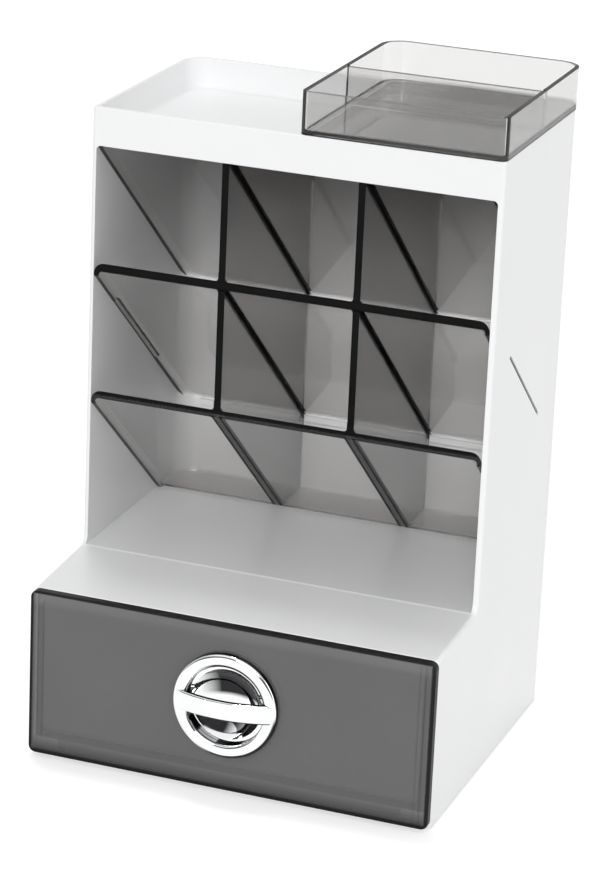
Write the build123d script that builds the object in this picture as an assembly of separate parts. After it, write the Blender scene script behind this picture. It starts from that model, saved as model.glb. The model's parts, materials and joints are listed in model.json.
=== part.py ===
from build123d import *
import math
import os

# Brush holder: a white L-shaped housing with three slanted smoke-grey tiers that make
# six pockets, a smoke drawer with a chrome pull in the base, and a smoke tray on top.
# Millimetres, +Z up, front towards -Y, origin under the middle of the whole object.

# ---- overall sizes -----------------------------------------------------------------
width = 140.0
column_depth = 83.5
base_reach = 41.5
rim_height = 212.0
foot_stand = 0.6

# ---- housing -----------------------------------------------------------------------
wall = 1.8
back_corner_radius = 9.0
front_corner_radius = 1.6
shelf_front_height = 59.0
shelf_height = 61.5
shelf_thickness = 2.0
shelf_blend_radius = 3.0
shelf_edge_radius = 0.7
band_height = 12.7
deck_thickness = 1.9
recess_floor_radius = 1.5
opening_corner_radius = 1.5
rim_edge_radius = 0.5
runner_width = 8.0
runner_top = 6.6

# ---- base plate, screws and feet -----------------------------------------------------
base_plate_thickness = 2.0
base_plate_clearance = 0.15
screw_inset_front = 12.0
screw_inset_back = 16.0
screw_shank_diameter = 2.4
screw_head_diameter = 5.0
screw_head_height = 1.2
screw_length = 4.6
screw_hole_clearance = 0.05
screw_recess = 0.1
screw_drive_length = 3.0
screw_drive_width = 0.7
screw_drive_depth = 0.6
foot_diameter = 10.0
foot_recess = 1.2
foot_clearance = 0.1
foot_inset_x = 22.0
foot_inset_y = 14.0
foot_edge_radius = 0.4

# ---- slanted tiers -------------------------------------------------------------------
slant = 39.8
top_tier_rise = 4.5
lower_lip_height = 115.8
tier_thickness = 2.0
tier_side_clearance = 0.12
tier_flange_drop = 4.2
tier_flange_thickness = 1.5
tier_corner_radius = 3.6
tier_inner_radius = 1.2
divider_offset = 23.2
divider_thickness = 2.3
divider_root_radius = 1.0
divider_stub = 3.0
divider_setback = 0.3
divider_gap = 0.35
tab_length = 48.0
tab_thickness = 1.0
tab_centre_depth = 36.8
tab_slot_clearance = 0.15
tab_recess = 0.5
ledge_depth = 1.6
ledge_height = 2.0
ledge_clearance = 0.6
rest_gap = 0.05

# ---- drawer --------------------------------------------------------------------------
drawer_front_thickness = 3.0
drawer_front_lift = 0.6
drawer_front_corner_radius = 2.5
drawer_front_edge_radius = 0.7
drawer_front_gap = 0.2
drawer_side_clearance = 0.5
drawer_wall = 2.1
drawer_floor = 2.0
drawer_top = 53.5
drawer_run_clearance = 0.1
drawer_back_gap = 2.5
drawer_floor_radius = 2.0

# ---- pull on the drawer ---------------------------------------------------------------
knob_height = 31.8
knob_reach = 6.0
knob_radius = 18.0
knob_mouth_radius = 13.6
knob_ring_stand = 2.5
knob_ring_edge_radius = 1.1
knob_sleeve_wall = 1.4
knob_sleeve_length = 8.0
knob_hole_clearance = 0.2
knob_bar_height = 6.5
knob_bar_thickness = 1.9
knob_bar_inset = 0.6
knob_bar_edge_radius = 0.5
bowl_wall = 1.1
bowl_clearance = 0.1
bowl_front = 0.2
bowl_depth = 7.6
clamp_ring_width = 3.8
clamp_ring_thickness = 2.5
clamp_ring_clearance = 0.1
clamp_ring_notches = 4
clamp_notch_turn = 45.0
clamp_notch_width = 3.0
clamp_notch_depth = 1.2

# ---- tray on top -----------------------------------------------------------------------
tray_width = 68.7
tray_height = 14.1
tray_wall = 1.5
tray_floor = 1.3
tray_front_radius = 2.5
tray_front_inner_radius = 1.0
tray_back_radius = 8.0
tray_floor_radius = 0.6
tray_skirt_drop = 4.0
tray_skirt_wall = 1.6
tray_skirt_clearance = 0.4
tray_divider_depth = 40.0
tray_divider_thickness = 1.8
tray_divider_drop = 0.3
tray_groove_depth = 0.8
tray_groove_clearance = 0.1

# ---- places worked out from the sizes above ---------------------------------------------
depth = knob_reach + base_reach + column_depth
y_back = depth / 2
y_column = y_back - column_depth
y_face = y_column - base_reach
y_panel_back = y_face + drawer_front_thickness
y_shell_front = y_panel_back + drawer_front_gap
x_side = width / 2
x_inner = x_side - wall
x_runner = x_inner - runner_width
y_inner = y_back - wall
inner_corner_radius = back_corner_radius - wall
deck_underside = rim_height - band_height
recess_floor = deck_underside + deck_thickness
plate_top = foot_stand + base_plate_thickness
slant_tangent = math.tan(math.radians(slant))
slant_cosine = math.cos(math.radians(slant))
slant_sine = math.sin(math.radians(slant))
plate_cut = tier_thickness / slant_cosine
top_lip_height = deck_underside + top_tier_rise
tier_pitch = (top_lip_height - lower_lip_height) / 2
middle_lip_height = lower_lip_height + tier_pitch
tier_half_width = x_inner - tier_side_clearance
tier_back = y_inner - tier_side_clearance
tier_floor = shelf_height + rest_gap
tier_ceiling = deck_underside - rest_gap
divider_reach = tier_pitch - plate_cut - divider_gap
knob_sleeve_radius = knob_mouth_radius + knob_sleeve_wall
tray_low = rim_height + rest_gap
tray_high = tray_low + tray_height
x_tray = x_side - tray_width / 2
far = 4 * width
overlap = 1.0


def block(x0, x1, y0, y1, z0, z1):
    """An upright box between two corners."""
    size = (abs(x1 - x0), abs(y1 - y0), abs(z1 - z0))
    return Pos((x0 + x1) / 2, (y0 + y1) / 2, (z0 + z1) / 2) * Box(*size)


def side_prism(points, x0, x1):
    """A prism across the width from an outline of (y, z) points."""
    face = Plane.YZ.offset(x0) * make_face(Polyline(*points, close=True))
    return extrude(face, amount=x1 - x0, dir=(1, 0, 0))


def upright_edges(shape, x, y):
    """The vertical edges that stand at one place in the plan, left and right."""
    found = []
    for edge in shape.edges().filter_by(Axis.Z):
        middle = edge.center()
        if abs(abs(middle.X) - x) < 0.05 and abs(middle.Y - y) < 0.05:
            found.append(edge)
    return ShapeList(found)


def edges_at_height(shape, z):
    """The edges whose middle lies at one height."""
    return ShapeList([edge for edge in shape.edges() if abs(edge.center().Z - z) < 0.01])


def cross_edge(shape, y, z):
    """The edges along the width at one depth and height."""
    found = []
    for edge in shape.edges().filter_by(Axis.X):
        middle = edge.center()
        if abs(middle.Y - y) < 0.05 and abs(middle.Z - z) < 0.05:
            found.append(edge)
    return ShapeList(found)


def rounded_block(x, y0, y1, z0, z1, front_radius, back_radius):
    """A box centred across the width, with its upright corners rounded."""
    body = block(-x, x, y0, y1, z0, z1)
    if front_radius > 0:
        body = fillet(upright_edges(body, x, y0), front_radius)
    if back_radius > 0:
        body = fillet(upright_edges(body, x, y1), back_radius)
    return body


def tier_line(lip_height, y):
    """Height of the upper surface of a slanted tier at a depth."""
    return lip_height - (y - y_column) * slant_tangent


def slanted_bar(lip_height, x0, x1, length, thickness):
    """A flat bar in the middle of a slanted tier's thickness, between two x values."""
    y = y_column + tab_centre_depth
    z = tier_line(lip_height, y) - plate_cut / 2
    return Pos((x0 + x1) / 2, y, z) * Rot(-slant, 0, 0) * Box(abs(x1 - x0), length, thickness)


# ---- housing ---------------------------------------------------------------------------
def make_outer_body():
    outline = [
        (y_shell_front, foot_stand),
        (y_shell_front, shelf_front_height),
        (y_column, shelf_height),
        (y_column, rim_height),
        (y_back, rim_height),
        (y_back, foot_stand),
    ]
    body = side_prism(outline, -x_side, x_side)
    body = fillet(cross_edge(body, y_column, shelf_height), shelf_blend_radius)
    body = fillet(upright_edges(body, x_side, y_back), back_corner_radius)
    body = fillet(upright_edges(body, x_side, y_column), front_corner_radius)
    body = fillet(cross_edge(body, y_shell_front, shelf_front_height), shelf_edge_radius)
    return fillet(edges_at_height(body, rim_height), rim_edge_radius)


def pocket_room(gap, z0, z1):
    """The room behind the front opening, with its upper corners rounded, less a gap all round."""
    room = rounded_block(x_inner - gap, y_column - far, y_inner - gap, z0, z1,
                         0, inner_corner_radius - gap)
    ceiling = [edge for edge in room.edges().filter_by(Axis.Y) if abs(edge.center().Z - z1) < 0.01]
    return fillet(ShapeList(ceiling), opening_corner_radius - gap)


def make_pocket_space():
    room = pocket_room(0, shelf_height, deck_underside)
    return room & block(-x_side, x_side, y_column - wall, y_back, 0, rim_height)


def make_drawer_bay():
    y_open = y_shell_front - wall
    outline = [
        (y_open, runner_top),
        (y_open, shelf_front_height - shelf_thickness),
        (y_column, shelf_height - shelf_thickness),
        (y_inner, shelf_height - shelf_thickness),
        (y_inner, runner_top),
    ]
    bay = side_prism(outline, -x_inner, x_inner)
    bay = fillet(upright_edges(bay, x_inner, y_inner), inner_corner_radius)
    bay += rounded_block(x_inner, y_open, y_inner, foot_stand - wall, plate_top,
                         0, inner_corner_radius)
    return bay + block(-x_runner, x_runner, y_open, y_inner - runner_width, 0,
                       runner_top + overlap)


def make_recess():
    recess = rounded_block(x_inner, y_column + wall, y_inner, recess_floor, rim_height + wall,
                           front_corner_radius, inner_corner_radius)
    return fillet(edges_at_height(recess, recess_floor), recess_floor_radius)


def add_ledges(shell):
    """Strips on the back wall that carry the lower ends of the two upper tiers."""
    half = divider_thickness / 2 + ledge_clearance
    x_end = x_inner - inner_corner_radius
    spans = [
        (-x_end, -divider_offset - half),
        (half - divider_offset, divider_offset - half),
        (divider_offset + half, x_end),
    ]
    for lip_height in (middle_lip_height, top_lip_height):
        top = tier_line(lip_height, tier_back) - plate_cut - rest_gap
        for x0, x1 in spans:
            shell += block(x0, x1, y_inner - ledge_depth, y_inner + wall / 2,
                           top - ledge_height, top)
    return shell


def make_main_shell():
    shell = make_outer_body() - make_pocket_space() - make_drawer_bay() - make_recess()
    slot_length = tab_length + 2 * tab_slot_clearance
    slot_thickness = tab_thickness + 2 * tab_slot_clearance
    for side in (-1, 1):
        through = (side * (x_inner - wall), side * (x_side + wall))
        shell -= slanted_bar(middle_lip_height, *through, slot_length, slot_thickness)
    shell = add_ledges(shell)
    for x, y in screw_places():
        hole = screw_shank_diameter / 2 + screw_hole_clearance
        shell -= Pos(x, y, plate_top + runner_top / 2) * Cylinder(hole, runner_top)
    return shell


# ---- base plate, its screws and the feet -------------------------------------------------
def screw_places():
    x = x_inner - runner_width / 2
    front = y_shell_front + screw_inset_front
    back = y_back - screw_inset_back
    return [(-x, front), (x, front), (-x, back), (x, back)]


def foot_places():
    x = x_side - foot_inset_x
    front = y_shell_front + foot_inset_y
    back = y_back - foot_inset_y
    return [(-x, front), (x, front), (-x, back), (x, back)]


def make_base_plate():
    gap = base_plate_clearance
    plate = rounded_block(x_inner - gap, y_shell_front, y_inner - gap, foot_stand,
                          plate_top - rest_gap, 0, inner_corner_radius - gap)
    head = screw_head_diameter / 2 + 2 * screw_hole_clearance
    shank = screw_shank_diameter / 2 + 2 * screw_hole_clearance
    for x, y in screw_places():
        plate -= Pos(x, y, foot_stand) * Cylinder(head, 2 * (screw_head_height + screw_recess))
        plate -= Pos(x, y, foot_stand) * Cylinder(shank, 4 * base_plate_thickness)
    for x, y in foot_places():
        plate -= Pos(x, y, foot_stand) * Cylinder(foot_diameter / 2 + foot_clearance, 2 * foot_recess)
    return plate


def make_base_screw(x, y):
    low = foot_stand + screw_recess - rest_gap
    screw = Pos(x, y, low + screw_head_height / 2) * Cylinder(screw_head_diameter / 2, screw_head_height)
    shank_middle = low + screw_head_height / 2 + screw_length / 2
    screw += Pos(x, y, shank_middle) * Cylinder(screw_shank_diameter / 2, screw_length)
    for turn in (0, 90):
        drive = Box(screw_drive_length, screw_drive_width, 2 * screw_drive_depth)
        screw -= Pos(x, y, low) * Rot(0, 0, turn) * drive
    return screw


def make_foot(x, y):
    height = foot_stand + foot_recess - rest_gap
    foot = Pos(x, y, height / 2) * Cylinder(foot_diameter / 2, height)
    return fillet(foot.edges().group_by(Axis.Z)[0], foot_edge_radius)


# ---- slanted tiers --------------------------------------------------------------------
def tier_section(lip_height):
    """Front view of a tier: plate, turned-down sides and the roots of its two dividers."""
    tall = tier_flange_drop
    plate = Pos(0, lip_height - tall / 2) * Rectangle(2 * tier_half_width, tall)
    plate = fillet(plate.vertices().group_by(Axis.Y)[-1], tier_corner_radius)
    inner_width = 2 * (tier_half_width - tier_flange_thickness)
    under = Pos(0, lip_height - plate_cut - tall / 2) * Rectangle(inner_width, tall)
    plate -= fillet(under.vertices().group_by(Axis.Y)[-1], tier_inner_radius)
    for side in (-1, 1):
        stub = Rectangle(divider_thickness, divider_stub + plate_cut)
        plate += Pos(side * divider_offset, lip_height + (divider_stub - plate_cut) / 2) * stub
    roots = []
    for vertex in plate.vertices():
        near_divider = abs(abs(vertex.X) - divider_offset) < divider_thickness
        if near_divider and abs(vertex.Y - lip_height) < 0.01:
            roots.append(vertex)
    return fillet(ShapeList(roots), divider_root_radius)


def tier_divider(lip_height, y_low, z_low, x):
    """An upright divider between a tier and the one above, from one depth to the back."""
    y_high = tier_back
    outline = [
        (y_low, z_low[0]),
        (y_high, z_low[1]),
        (y_high, tier_line(lip_height, y_high) + divider_reach),
        (y_low, tier_line(lip_height, y_low) + divider_reach),
    ]
    return side_prism(outline, x - divider_thickness / 2, x + divider_thickness / 2)


def make_tier(lip_height):
    """One smoke tier with its two dividers, before it is trimmed to the housing."""
    section = Plane.XZ.offset(-y_column) * tier_section(lip_height)
    run = (tier_back - y_column + tier_thickness) / slant_cosine
    tier = extrude(section, amount=run, dir=(0, slant_cosine, -slant_sine))
    y_front = y_column + divider_setback
    sunk = tier_thickness / 2
    feet = (tier_line(lip_height, y_front) - sunk, tier_line(lip_height, tier_back) - sunk)
    for side in (-1, 1):
        tier += tier_divider(lip_height, y_front, feet, side * divider_offset)
    return tier


def fit_tier(tier):
    """Trims a tier to the room in the housing."""
    tier &= pocket_room(tier_side_clearance, tier_floor, tier_ceiling)
    return tier & block(-x_side, x_side, y_column, y_back, 0, rim_height)


def make_middle_tier():
    """The middle tier, whose tabs lock into slots through the side walls."""
    tier = fit_tier(make_tier(middle_lip_height))
    for side in (-1, 1):
        reach = (side * (tier_half_width - tier_corner_radius), side * (x_side - tab_recess))
        tier += slanted_bar(middle_lip_height, *reach, tab_length, tab_thickness)
    return tier


def make_lower_tier():
    """The lowest tier, whose plate turns flat where it meets the shelf."""
    tier = make_tier(lower_lip_height)
    y_foot = y_column + (lower_lip_height - plate_cut - tier_floor) / slant_tangent
    tier += block(-tier_half_width, tier_half_width, y_foot, tier_back, tier_floor,
                  tier_floor + tier_thickness)
    feet = (tier_floor + tier_thickness / 2, tier_floor + tier_thickness / 2)
    for side in (-1, 1):
        tier += tier_divider(lower_lip_height, y_foot, feet, side * divider_offset)
    return fit_tier(tier)


# ---- drawer ------------------------------------------------------------------------------
def make_drawer_box():
    front_low = foot_stand + drawer_front_lift
    panel = block(-x_side, x_side, y_face, y_panel_back, front_low, shelf_front_height)
    panel = fillet(panel.edges().filter_by(Axis.Y), drawer_front_corner_radius)
    panel = fillet(panel.edges().group_by(Axis.Y)[0], drawer_front_edge_radius)

    x_out = x_inner - drawer_side_clearance
    y_rear = y_inner - drawer_back_gap
    low = runner_top + drawer_run_clearance
    floor_top = low + drawer_floor
    rear_radius = inner_corner_radius - drawer_side_clearance
    box = rounded_block(x_out, y_panel_back - overlap, y_rear, low, drawer_top, 0, rear_radius)
    inside = rounded_block(x_out - drawer_wall, y_panel_back, y_rear - drawer_wall, floor_top,
                           drawer_top + wall, 0, rear_radius - drawer_wall)
    inside = fillet(edges_at_height(inside, floor_top), drawer_floor_radius)
    hole = knob_sleeve_radius + knob_hole_clearance
    return panel + (box - inside) - on_knob_axis(Cylinder(hole, 4 * drawer_front_thickness), y_face)


def on_knob_axis(shape, y):
    """Puts a shape made along Z onto the pull's axis, its middle at a depth."""
    return Pos(0, y, knob_height) * Rot(90, 0, 0) * shape


def knob_tube(outer, inner, y0, y1):
    tube = Cylinder(outer, y1 - y0) - Cylinder(inner, y1 - y0)
    return on_knob_axis(tube, (y0 + y1) / 2)


def make_knob_ring():
    y_ring = y_face - knob_ring_stand
    ring = knob_tube(knob_radius, knob_mouth_radius, y_ring, y_face - rest_gap)
    ring = fillet(ring.edges().group_by(Axis.Y)[0], knob_ring_edge_radius)
    ring += knob_tube(knob_sleeve_radius, knob_mouth_radius, y_face - overlap,
                      y_face + knob_sleeve_length)
    return ring + make_knob_bar()


def make_knob_bar():
    """The bar across the mouth, bowed forward in the middle so that a finger gets behind it."""
    y_ring = y_face - knob_ring_stand
    y_tip = y_face - knob_reach
    y_end = y_face - rest_gap
    end = knob_radius - knob_bar_inset
    outer = ThreePointArc((-end, y_end - knob_bar_thickness), (0, y_tip), (end, y_end - knob_bar_thickness))
    inner = ThreePointArc((-end, y_end), (0, y_tip + knob_bar_thickness), (end, y_end))
    ends = [Line(outer @ 0, inner @ 0), Line(outer @ 1, inner @ 1)]
    bar = extrude(make_face(Curve() + [outer, inner] + ends), amount=knob_bar_height)
    bar = Pos(0, 0, knob_height - knob_bar_height / 2) * bar
    bar &= on_knob_axis(Cylinder(knob_radius - rest_gap, far), y_face)
    bowed = [edge for edge in bar.edges() if edge.length > knob_radius and edge.center().Y < y_ring]
    return fillet(ShapeList(bowed), knob_bar_edge_radius)


def make_knob_bowl():
    radius = knob_mouth_radius - bowl_clearance
    rise = bowl_depth - bowl_front
    sphere = (radius ** 2 + rise ** 2) / (2 * rise)
    place = Pos(0, y_face + bowl_depth - sphere, knob_height)
    bowl = place * Sphere(sphere) - place * Sphere(sphere - bowl_wall)
    return bowl & block(-x_side, x_side, y_face + bowl_front, y_back, 0, rim_height)


def make_knob_clamp_ring():
    inner = knob_sleeve_radius + clamp_ring_clearance
    outer = inner + clamp_ring_width
    y0 = y_panel_back + rest_gap
    ring = knob_tube(outer, inner, y0, y0 + clamp_ring_thickness)
    for i in range(clamp_ring_notches):
        notch = Box(clamp_notch_width, 2 * clamp_notch_depth, 2 * clamp_ring_thickness)
        turned = Rot(0, 0, clamp_notch_turn + i * 360 / clamp_ring_notches) * Pos(0, outer, 0) * notch
        ring -= on_knob_axis(turned, y0 + clamp_ring_thickness)
    return ring


# ---- tray on top ----------------------------------------------------------------------------
def tray_groove_span():
    middle = y_column + tray_divider_depth
    half = tray_divider_thickness / 2 + tray_groove_clearance
    return middle - half, middle + half


def make_top_tray():
    half = tray_width / 2
    floor_top = tray_low + tray_floor
    tray = rounded_block(half, y_column, y_back, tray_low, tray_high,
                         tray_front_radius, tray_back_radius)
    inside = rounded_block(half - tray_wall, y_column + tray_wall, y_back - tray_wall,
                           floor_top, tray_high + tray_wall,
                           tray_front_inner_radius, tray_back_radius - tray_wall)
    tray -= fillet(edges_at_height(inside, floor_top), tray_floor_radius)
    groove_reach = half - tray_wall + tray_groove_depth
    tray -= block(-groove_reach, groove_reach, *tray_groove_span(), floor_top, tray_high + tray_wall)

    skirt_low = tray_low - tray_skirt_drop
    x_skirt = half - wall - tray_skirt_clearance
    y0 = y_column + wall + tray_skirt_clearance
    y1 = y_inner - tray_skirt_clearance
    radius = inner_corner_radius - tray_skirt_clearance
    skirt = rounded_block(x_skirt, y0, y1, skirt_low, tray_low + tray_floor / 2, front_corner_radius, radius)
    skirt -= rounded_block(x_skirt - tray_skirt_wall, y0 + tray_skirt_wall, y1 - tray_skirt_wall,
                           skirt_low - overlap, tray_low + tray_floor, 0, radius - tray_skirt_wall)
    return Pos(x_tray, 0, 0) * (tray + skirt)


def make_top_tray_divider():
    half = tray_width / 2 - tray_wall + tray_groove_depth - tray_groove_clearance
    y0, y1 = tray_groove_span()
    gap = tray_groove_clearance
    return block(x_tray - half, x_tray + half, y0 + gap, y1 - gap,
                 tray_low + tray_floor + rest_gap, tray_high - tray_divider_drop)


# ---- every piece by name --------------------------------------------------------------------
def make_parts():
    parts = {"main_shell": make_main_shell(), "base_plate": make_base_plate()}
    parts["top_tier"] = fit_tier(make_tier(top_lip_height))
    parts["middle_tier"] = make_middle_tier()
    parts["lower_tier"] = make_lower_tier()
    corners = ("front_left", "front_right", "back_left", "back_right")
    for corner, (x, y) in zip(corners, foot_places()):
        parts["foot_" + corner] = make_foot(x, y)
    for corner, (x, y) in zip(corners, screw_places()):
        parts["base_screw_" + corner] = make_base_screw(x, y)
    parts["drawer_box"] = make_drawer_box()
    parts["knob_ring"] = make_knob_ring()
    parts["knob_bowl"] = make_knob_bowl()
    parts["knob_clamp_ring"] = make_knob_clamp_ring()
    parts["top_tray"] = make_top_tray()
    parts["top_tray_divider"] = make_top_tray_divider()
    return parts


os.makedirs("parts", exist_ok=True)
for name, shape in make_parts().items():
    export_step(shape, "parts/" + name + ".step")
    print(name, len(shape.solids()), round(shape.volume))
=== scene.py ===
import json
import math
import bpy
from mathutils import Matrix, Vector


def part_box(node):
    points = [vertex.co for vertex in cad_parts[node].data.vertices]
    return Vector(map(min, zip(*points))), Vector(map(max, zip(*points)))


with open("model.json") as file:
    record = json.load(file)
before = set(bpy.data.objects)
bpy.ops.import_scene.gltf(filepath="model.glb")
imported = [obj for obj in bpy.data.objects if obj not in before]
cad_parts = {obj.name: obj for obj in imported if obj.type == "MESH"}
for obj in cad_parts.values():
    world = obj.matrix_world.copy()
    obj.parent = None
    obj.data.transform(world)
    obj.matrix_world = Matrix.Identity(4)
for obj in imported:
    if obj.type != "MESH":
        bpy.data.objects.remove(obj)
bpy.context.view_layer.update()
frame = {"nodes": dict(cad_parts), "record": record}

# Lengths are in metres, as in the frame, and the tiers' sizes are those of the solids. A mask is a
# value from 0 to 1 that says where a finish or a painted shade applies, and it fades from one to the other.
column_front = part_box("middle_tier")[0].y
lower_lip = 0.1158
tier_pitch = 0.044
tier_slope = math.radians(39.8)
tier_thickness = 0.002
edge_band = 0.0006
divider_offset = 0.0232
divider_half = 0.00115
divider_root = 0.001
fade = 0.0001


# ---- node helpers ----------------------------------------------------------------------------
def new_tree(name):
    material = bpy.data.materials.new(name)
    material.use_nodes = True
    tree = material.node_tree
    tree.nodes.clear()
    return material, tree


def add(tree, kind, **values):
    """A node with its plain settings and unlinked inputs set by name."""
    node = tree.nodes.new(kind)
    for key, value in values.items():
        if hasattr(node, key):
            setattr(node, key, value)
        else:
            node.inputs[key.replace("_", " ")].default_value = value
    return node


def noise(tree, scale, detail, stretch=(1, 1, 1)):
    """Noise in the piece's own coordinates, so that it moves with the piece."""
    place = add(tree, "ShaderNodeTexCoord")
    mapping = add(tree, "ShaderNodeMapping", Scale=stretch)
    tree.links.new(place.outputs["Object"], mapping.inputs["Vector"])
    texture = add(tree, "ShaderNodeTexNoise", Scale=scale, Detail=detail)
    tree.links.new(mapping.outputs["Vector"], texture.inputs["Vector"])
    return texture.outputs["Fac"]


def split_vector(tree, source):
    """The X, Y and Z outputs of one of the Texture Coordinate node's vectors."""
    place = add(tree, "ShaderNodeTexCoord")
    split = add(tree, "ShaderNodeSeparateXYZ")
    tree.links.new(place.outputs[source], split.inputs["Vector"])
    return split.outputs


def coordinate(tree, axis):
    """One of the piece's own coordinates, in metres."""
    return split_vector(tree, "Object")[axis]


def spread(tree, value, low, high, start=0.3, end=0.7):
    """Maps a value from start to end onto a range from low to high, and stops at its ends."""
    node = add(tree, "ShaderNodeMapRange", From_Min=start, From_Max=end, To_Min=low, To_Max=high)
    tree.links.new(value, node.inputs["Value"])
    return node.outputs["Result"]


def tint(tree, value, dark, light, start=0.2, end=0.8):
    """A colour between two by a 0 to 1 value."""
    ramp = add(tree, "ShaderNodeValToRGB")
    for element, position, colour in zip(ramp.color_ramp.elements, (start, end), (dark, light)):
        element.position = position
        element.color = (*colour, 1)
    tree.links.new(value, ramp.inputs["Fac"])
    return ramp.outputs["Color"]


def bumps(tree, layers):
    """Bump layers one on another: (height value, strength, depth in metres)."""
    normal = None
    for height, strength, depth in layers:
        bump = add(tree, "ShaderNodeBump", Strength=strength, Distance=depth)
        tree.links.new(height, bump.inputs["Height"])
        if normal is not None:
            tree.links.new(normal, bump.inputs["Normal"])
        normal = bump.outputs["Normal"]
    return normal


def glossy_shader(tree, colour, rough, normal, **settings):
    """A Principled shader. A colour that is the same all over is set on its own socket."""
    shader = add(tree, "ShaderNodeBsdfPrincipled", **settings)
    if isinstance(colour, tuple):
        shader.inputs["Base Color"].default_value = (*colour, 1)
    else:
        tree.links.new(colour, shader.inputs["Base Color"])
    tree.links.new(rough, shader.inputs["Roughness"])
    tree.links.new(normal, shader.inputs["Normal"])
    return shader.outputs["BSDF"]


def mix_shaders(tree, share, first, second):
    """The first shader where share is 0 and the second where it is 1."""
    mix = add(tree, "ShaderNodeMixShader")
    tree.links.new(share, mix.inputs["Fac"])
    tree.links.new(first, mix.inputs[1])
    tree.links.new(second, mix.inputs[2])
    return mix.outputs["Shader"]


def give_output(tree, surface, kind="ShaderNodeOutputMaterial"):
    out = add(tree, kind)
    tree.links.new(surface, out.inputs["Surface"])
    return out


# ---- arithmetic and masks --------------------------------------------------------------------
def combine(tree, operation, first, second=0.0):
    """The result of a Math node on values or plain numbers."""
    node = add(tree, "ShaderNodeMath", operation=operation)
    for value, socket in ((first, node.inputs[0]), (second, node.inputs[1])):
        if isinstance(value, (int, float)):
            socket.default_value = value
        else:
            tree.links.new(value, socket)
    return node.outputs["Value"]


def total(tree, first, second):
    return combine(tree, "ADD", first, second)


def product(tree, first, second):
    return combine(tree, "MULTIPLY", first, second)


def distance(tree, value, middle=0.0):
    """How far a value is from a middle one, either way."""
    if middle:
        value = combine(tree, "SUBTRACT", value, middle)
    return combine(tree, "ABSOLUTE", value)


def highest(tree, first, *others):
    for value in others:
        first = combine(tree, "MAXIMUM", first, value)
    return first


def step(tree, value, start, end):
    """0 before start and 1 past end, also where end is the lower number."""
    return spread(tree, value, 0.0, 1.0, start, end)


def past(tree, value, limit, soft=fade):
    """1 past a limit and 0 before it."""
    return step(tree, value, limit - soft, limit + soft)


def up_to(tree, value, limit, soft=fade):
    """1 up to a limit and 0 past it."""
    return step(tree, value, limit + soft, limit - soft)


def between(tree, value, low, high):
    """1 from low to high and 0 outside."""
    return product(tree, past(tree, value, low), up_to(tree, value, high))


def straight_rays(tree):
    """1 for the rays that the camera, a reflection or clear plastic sends out, and else 0."""
    rays = add(tree, "ShaderNodeLightPath").outputs
    return highest(tree, rays["Is Camera Ray"], rays["Is Glossy Ray"], rays["Is Transmission Ray"])


# ---- opaque plastic and metal ----------------------------------------------------------------
def moulded_plastic(name, dark, light, rough, grain):
    """Opaque moulded plastic: faint mottling, uneven gloss, fine grain and shallow sink waves."""
    material, tree = new_tree(name)
    colour = tint(tree, noise(tree, scale=28.0, detail=2.0), dark, light)
    smear = noise(tree, scale=60.0, detail=2.0, stretch=(1, 1, 0.35))
    gloss = spread(tree, smear, *rough, start=0.2, end=0.8)
    fine = noise(tree, scale=1100.0, detail=1.0)
    waves = noise(tree, scale=18.0, detail=0.0)
    normal = bumps(tree, ((waves, 0.03, 0.0004), (fine, grain, 0.00002)))
    give_output(tree, glossy_shader(tree, colour, gloss, normal, IOR=1.5))
    return material


def painted_pull_reflection(tree, colour):
    """Painted reflection: darkens the faces of the pull that look down, but for its left end, and
    those that look neither to the front nor to the back, as dark reflections in the chrome."""
    left_end, left_fade = -0.007, 0.003
    down_start, down_full = -0.02, -0.12
    sideways_start, sideways_full = 0.45, 0.2
    facing = split_vector(tree, "Normal")
    down = step(tree, facing["Z"], down_start, down_full)
    down = product(tree, down, past(tree, coordinate(tree, "X"), left_end, left_fade))
    sideways = step(tree, distance(tree, facing["Y"]), sideways_start, sideways_full)
    mix = add(tree, "ShaderNodeMix", data_type="RGBA")
    # The colour of the painted dark reflection.
    mix.inputs["B"].default_value = (0.03, 0.03, 0.032, 1)
    tree.links.new(highest(tree, down, sideways), mix.inputs["Factor"])
    tree.links.new(colour, mix.inputs["A"])
    return mix.outputs["Result"]


def plated_metal(name, dark, light, rough, grain, stretch=(1, 1, 1), shading=None):
    """Bright metal with uneven polish and fine marks. shading(tree, colour) darkens its colour with painted
    reflections.
    """
    material, tree = new_tree(name)
    colour = tint(tree, noise(tree, scale=120.0, detail=3.0), dark, light)
    if shading:
        colour = shading(tree, colour)
    polish = spread(tree, noise(tree, scale=260.0, detail=5.0, stretch=stretch), *rough)
    marks = noise(tree, scale=2500.0, detail=2.0, stretch=stretch)
    waves = noise(tree, scale=90.0, detail=1.0)
    normal = bumps(tree, ((waves, 0.1, 0.0002), (marks, grain, 0.00002)))
    give_output(tree, glossy_shader(tree, colour, polish, normal, Metallic=1.0))
    return material


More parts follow.
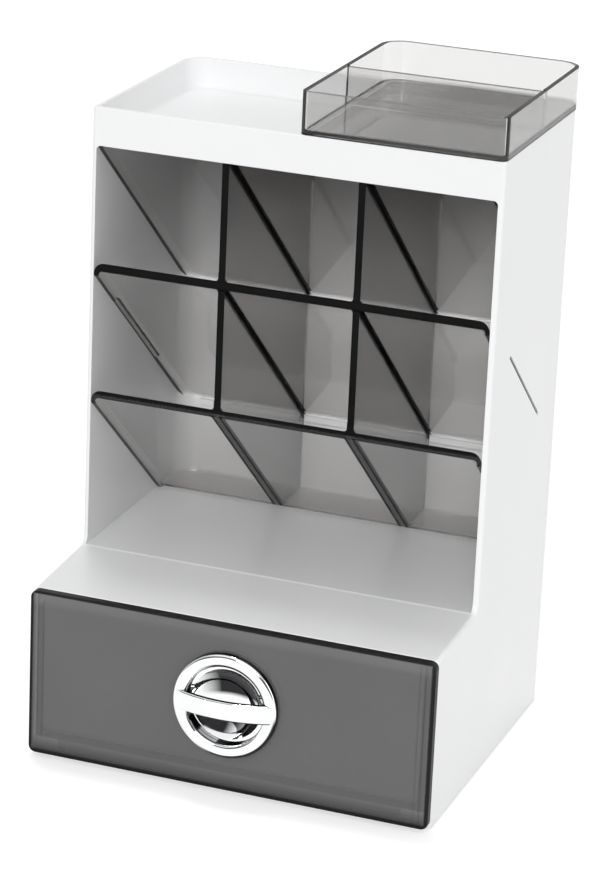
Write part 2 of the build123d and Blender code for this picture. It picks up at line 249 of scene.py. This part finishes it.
# ---- smoke plastic ---------------------------------------------------------------------------
def smoke_plastic(name, clear_colour, density, haze, edges, pigment):
    """Clear plastic tinted by its thickness. Lamps shine through it. Where the mask edges(tree) is
    1, as on the narrow edges, it shows nearly black, a painted shade for the light that the plastic
    soaks up along its length. pigment(tree) gives the colour and the share of the pigment that
    makes it less clear."""
    material, tree = new_tree(name)
    smear = noise(tree, scale=70.0, detail=4.0, stretch=(1, 0.5, 1))
    waves = noise(tree, scale=22.0, detail=1.0)
    fine = noise(tree, scale=500.0, detail=1.0)
    normal = bumps(tree, ((waves, 0.04, 0.0003), (fine, 0.002, 0.00003)))
    clear = glossy_shader(tree, clear_colour, spread(tree, smear, *haze), normal,
                          IOR=1.45, Transmission_Weight=1.0)
    grey, share = pigment(tree)
    cloudy = glossy_shader(tree, grey, spread(tree, smear, 0.1, 0.16), normal, IOR=1.45)
    # The nearly black colour of the painted shade on the edges.
    black = tint(tree, smear, (0.004, 0.004, 0.004), (0.008, 0.008, 0.008))
    dark = glossy_shader(tree, black, spread(tree, smear, 0.25, 0.4), normal,
                         IOR=1.3, Specular_IOR_Level=0.12)
    plastic = mix_shaders(tree, share, clear, cloudy)
    plastic = mix_shaders(tree, edges(tree), plastic, dark)
    shadow_ray = add(tree, "ShaderNodeLightPath").outputs["Is Shadow Ray"]
    see_through = add(tree, "ShaderNodeBsdfTransparent").outputs["BSDF"]
    out = give_output(tree, mix_shaders(tree, shadow_ray, plastic, see_through))
    tinted = add(tree, "ShaderNodeVolumeAbsorption", Density=density, Color=(0.04, 0.03, 0.025, 1))
    tree.links.new(tinted.outputs["Volume"], out.inputs["Volume"])
    return material


def from_divider(tree):
    """How far a point is, sideways, from the middle of the nearest divider."""
    return distance(tree, distance(tree, coordinate(tree, "X")), divider_offset)


def in_divider(tree, side):
    """The dividers' own thickness."""
    return up_to(tree, side, divider_half + 2 * fade)


def painted_divider_shade(tree):
    """Painted shade on the tops of the dividers and on the rounded roots on which they stand, and a
    thin painted shadow beside the tops, where each divider meets the tier above it."""
    top_band = 0.0012
    beside_top = 0.00065
    side = from_divider(tree)
    run, rise = math.sin(tier_slope), math.cos(tier_slope)
    square_to_plate = total(tree, product(tree, coordinate(tree, "Y"), run),
                            product(tree, coordinate(tree, "Z"), rise))
    lowest_plate = column_front * run + lower_lip * rise
    pitch = tier_pitch * rise
    pitches_up = combine(tree, "DIVIDE", combine(tree, "SUBTRACT", square_to_plate, lowest_plate), pitch)
    above_plate = product(tree, combine(tree, "FRACT", pitches_up), pitch)
    ceiling = pitch - tier_thickness
    # Painted shade on the dividers' tops and roots.
    tops = product(tree, between(tree, above_plate, ceiling - top_band, ceiling - fade),
                   in_divider(tree, side))
    roots = product(tree, up_to(tree, above_plate, divider_root),
                    between(tree, side, divider_half - fade, divider_half + divider_root + fade))
    # A thin painted shadow beside each divider's top.
    beside = product(tree, between(tree, above_plate, ceiling - 2 * fade, ceiling + 3 * fade),
                     between(tree, side, divider_half - 3 * fade, divider_half + beside_top))
    return highest(tree, tops, roots, beside)


def tier_pigment(tree):
    """A cloudy grey share on the dividers, which makes them show darker than the plates between them."""
    divider_share = 0.26
    grey = tint(tree, noise(tree, scale=35.0, detail=2.0), (0.05, 0.048, 0.046), (0.07, 0.068, 0.066))
    return grey, product(tree, in_divider(tree, from_divider(tree)), divider_share)


def painted_tier_shade(tree):
    """Painted shade on the front edges of the tiers and dividers, but for the lower part of the lowest
    lip, and on the lines along the dividers' tops and roots, for light that the plastic soaks up."""
    dark_lip = 0.0014
    whole_lip = 0.0042
    line_share = 0.95
    # The front edges, painted dark as shade.
    front = step(tree, coordinate(tree, "Y"), column_front + edge_band,
                 column_front + 0.75 * edge_band)
    height = coordinate(tree, "Z")
    dark_heights = highest(tree, past(tree, height, lower_lip - dark_lip, 2 * fade),
                           up_to(tree, height, lower_lip - whole_lip, 2 * fade))
    lines = product(tree, painted_divider_shade(tree), line_share)
    return highest(tree, product(tree, front, dark_heights), lines)


def painted_drawer_shade(tree):
    """Painted shade on the rim of the drawer's front panel, and a soft painted shade along its foot."""
    end_width = 0.0013
    top_width = 0.0008
    foot_width = 0.0020
    shade_height, shade_fade = 0.0041, 0.0025
    rim_share, shade_share = 0.92, 0.5
    low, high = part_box("drawer_box")
    height = coordinate(tree, "Z")
    ends = past(tree, distance(tree, coordinate(tree, "X")), high.x - end_width, 3 * fade)
    top = past(tree, height, high.z - top_width, 2 * fade)
    foot = up_to(tree, height, low.z + foot_width, 6 * fade)
    # A soft painted shade along the panel's foot.
    shade = up_to(tree, height, low.z + shade_height, shade_fade)
    rim = highest(tree, ends, top, foot)
    return highest(tree, product(tree, rim, rim_share), product(tree, shade, shade_share))


def drawer_pigment(tree):
    """The drawer's even grey, a little lighter at the top, with faint upright lines near its ends."""
    line_places = ((0.0034, 0.0028), (0.0052, 0.0048))
    top_strip, strip_fade = 0.004, 0.001
    line_shade, strip_light = -0.35, 0.3
    least_share, share_range = 0.52, 0.05
    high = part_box("drawer_box")[1]
    side = distance(tree, coordinate(tree, "X"))
    lines = highest(tree, *(between(tree, side, high.x - start, high.x - end) for start, end in line_places))
    strip = past(tree, coordinate(tree, "Z"), high.z - top_strip, strip_fade)
    change = total(tree, product(tree, lines, line_shade), product(tree, strip, strip_light))
    grey = tint(tree, noise(tree, scale=30.0, detail=2.0), (0.165, 0.163, 0.162), (0.185, 0.183, 0.182))
    scaled = add(tree, "ShaderNodeVectorMath", operation="SCALE")
    tree.links.new(grey, scaled.inputs[0])
    tree.links.new(total(tree, change, 1.0), scaled.inputs["Scale"])
    share = total(tree, product(tree, noise(tree, scale=12.0, detail=1.0), share_range), least_share)
    return scaled.outputs["Vector"], share


def tray_pigment(tree):
    """A grey that is stronger in the tray's floor, as painted shade from the recess in which the tray
    sits, but not at the floor's left end."""
    floor_top = 0.0059
    left_end, left_fade = 0.021, 0.009
    floor_shade_share, least_share = 0.26, 0.01
    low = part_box("top_tray")[0]
    grey = tint(tree, noise(tree, scale=40.0, detail=2.0), (0.10, 0.098, 0.096), (0.12, 0.118, 0.116))
    # The tray's floor, where the painted shade is strongest.
    floor = up_to(tree, coordinate(tree, "Z"), low.z + floor_top, 3 * fade)
    inward = past(tree, coordinate(tree, "X"), low.x + left_end, left_fade)
    share = total(tree, product(tree, inward, floor_shade_share), least_share)
    return grey, total(tree, product(tree, floor, share), least_share)


def painted_tray_shade(tree):
    """Painted shade on the tray's top edges, strong on its side walls and faint elsewhere, on its
    upright front corners and along the line where it sits."""
    wall = 0.0019
    corner_width = 0.0008
    seat_low, seat_high = 0.0035, 0.0045
    wall_share, rim_share, seat_share, corner_share = 0.8, 0.12, 0.5, 0.9
    low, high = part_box("top_tray")
    half = (high.x - low.x) / 2
    height = coordinate(tree, "Z")
    side = distance(tree, coordinate(tree, "X"), (low.x + high.x) / 2)
    top = step(tree, height, high.z - 2.5 * fade, high.z - fade)
    walls = step(tree, side, half - wall, half - wall + 3 * fade)
    rims = product(tree, top, total(tree, product(tree, walls, wall_share), rim_share))
    front = step(tree, coordinate(tree, "Y"), low.y + edge_band, low.y + edge_band / 2)
    corners = product(tree, front, past(tree, side, half - corner_width, 2 * fade))
    # A painted shade along the line where the tray sits.
    seat = between(tree, height, low.z + seat_low, low.z + seat_high)
    return highest(tree, rims, product(tree, seat, seat_share), product(tree, corners, corner_share))


# ---- the materials of the record's slots -----------------------------------------------------
recipes = {
    "white_plastic": (moulded_plastic, dict(
        dark=(0.862, 0.866, 0.87), light=(0.878, 0.882, 0.886), rough=(0.27, 0.34), grain=0.03)),
    "base_plastic": (moulded_plastic, dict(
        dark=(0.80, 0.805, 0.81), light=(0.84, 0.845, 0.85), rough=(0.42, 0.55), grain=0.3)),
    "clamp_plastic": (moulded_plastic, dict(
        dark=(0.03, 0.03, 0.032), light=(0.05, 0.05, 0.053), rough=(0.4, 0.55), grain=0.3)),
    "foot_rubber": (moulded_plastic, dict(
        dark=(0.3, 0.3, 0.3), light=(0.38, 0.38, 0.38), rough=(0.7, 0.85), grain=0.6)),
    "chrome_plate": (plated_metal, dict(
        dark=(0.86, 0.865, 0.87), light=(0.93, 0.935, 0.94), rough=(0.03, 0.09), grain=0.05,
        shading=painted_pull_reflection)),
    "screw_steel": (plated_metal, dict(
        dark=(0.5, 0.5, 0.5), light=(0.62, 0.62, 0.63), rough=(0.22, 0.38), grain=0.3,
        stretch=(1, 8, 1))),
    "smoke_plastic": (smoke_plastic, dict(
        clear_colour=(0.91, 0.9, 0.89), density=66.0, haze=(0.03, 0.08),
        edges=painted_tier_shade, pigment=tier_pigment)),
    "drawer_plastic": (smoke_plastic, dict(
        clear_colour=(0.8, 0.8, 0.8), density=90.0, haze=(0.05, 0.1),
        edges=painted_drawer_shade, pigment=drawer_pigment)),
    "tray_plastic": (smoke_plastic, dict(
        clear_colour=(0.9, 0.895, 0.89), density=62.0, haze=(0.03, 0.07),
        edges=painted_tray_shade, pigment=tray_pigment)),
}
materials = {name: make(name, **values) for name, (make, values) in recipes.items()}
slots = {part["node"]: part["material_slot"] for part in frame["record"]["subparts"]}
for name, piece in frame["nodes"].items():
    for place in piece.material_slots:
        place.material = materials[slots[name]]


# ---- floor, light and camera -----------------------------------------------------------------
def place_object(name, data):
    item = bpy.data.objects.new(name, data)
    bpy.context.scene.collection.objects.link(item)
    return item


def make_floor(half, grey, glow):
    """White paper. Its glow, which only straight rays see, lifts it to the background's white and
    adds nothing to the light on the object's opaque plastic."""
    mesh = bpy.data.meshes.new("floor")
    corners = [(-half, -half, 0), (half, -half, 0), (half, half, 0), (-half, half, 0)]
    mesh.from_pydata(corners, [], [(0, 1, 2, 3)])
    material, tree = new_tree("floor_paper")
    paper = add(tree, "ShaderNodeBsdfDiffuse", Color=(grey, grey, grey, 1)).outputs["BSDF"]
    emission = add(tree, "ShaderNodeEmission", Strength=glow).outputs["Emission"]
    lifted = add(tree, "ShaderNodeAddShader")
    tree.links.new(paper, lifted.inputs[0])
    tree.links.new(emission, lifted.inputs[1])
    give_output(tree, mix_shaders(tree, straight_rays(tree), paper, lifted.outputs["Shader"]))
    mesh.materials.append(material)
    place_object("floor", mesh)


def make_world(strength):
    """Even white light of this strength, and a white background, of strength 1, for straight rays.
    Reflections see it dark low down in front, which gives the chrome its dark shapes."""
    front_dark, front_light = -0.75, 0.1
    low_dark, high_light = 0.35, 0.75
    world = bpy.data.worlds.new("studio")
    world.use_nodes = True
    tree = world.node_tree
    tree.nodes.clear()
    white = (1, 1, 1, 1)
    direction = split_vector(tree, "Generated")
    behind = step(tree, direction["Y"], front_dark, front_light)
    above = step(tree, direction["Z"], low_dark, high_light)
    room = tint(tree, highest(tree, behind, above), (0.02, 0.02, 0.02), white[:3], start=0.0, end=1.0)
    colour = add(tree, "ShaderNodeMix", data_type="RGBA")
    colour.inputs["A"].default_value = white
    tree.links.new(room, colour.inputs["B"])
    tree.links.new(add(tree, "ShaderNodeLightPath").outputs["Is Glossy Ray"], colour.inputs["Factor"])
    light = add(tree, "ShaderNodeBackground", Strength=strength, Color=white).outputs["Background"]
    seen = add(tree, "ShaderNodeBackground", Strength=1.0)
    tree.links.new(colour.outputs["Result"], seen.inputs["Color"])
    mixed = mix_shaders(tree, straight_rays(tree), light, seen.outputs["Background"])
    give_output(tree, mixed, "ShaderNodeOutputWorld")
    bpy.context.scene.world = world


def make_lamp(name, strength, direction, angle):
    """A soft sun that shines along a direction. The angle is how wide it looks, in degrees."""
    lamp_distance = 1.5
    lamp = bpy.data.lights.new(name, "SUN")
    lamp.energy = strength
    lamp.angle = math.radians(angle)
    stand = place_object(name, lamp)
    aim = Vector(direction).normalized()
    stand.rotation_euler = aim.to_track_quat("-Z", "Y").to_euler()
    stand.location = -lamp_distance * aim


def make_camera(place, azimuth, elevation, roll, lens):
    """The camera at a place. Azimuth 0 looks along +Y, and the angles are in degrees."""
    camera = bpy.data.cameras.new("camera")
    camera.sensor_width = 36.0
    camera.lens = lens
    camera.clip_end = 20.0
    holder = place_object("camera", camera)
    holder.matrix_world = (Matrix.Translation(place)
                           @ Matrix.Rotation(math.radians(azimuth), 4, "Z")
                           @ Matrix.Rotation(math.radians(90 - elevation), 4, "X")
                           @ Matrix.Rotation(math.radians(roll), 4, "Z"))
    bpy.context.scene.camera = holder


make_floor(half=4.0, grey=0.82, glow=0.4)
make_world(0.47)
make_lamp("overhead", 0.5, direction=(0.12, -0.17, -1.0), angle=8)
make_lamp("front", 1.55, direction=(-0.12, 0.88, -0.46), angle=30)
make_lamp("right", 0.6, direction=(-0.95, -0.1, -0.3), angle=40)
make_camera(place=(0.36864, -1.02214, 0.49029), azimuth=19.768, elevation=19.589, roll=2.565, lens=142.55)
bpy.context.scene.view_settings.view_transform = "Standard"
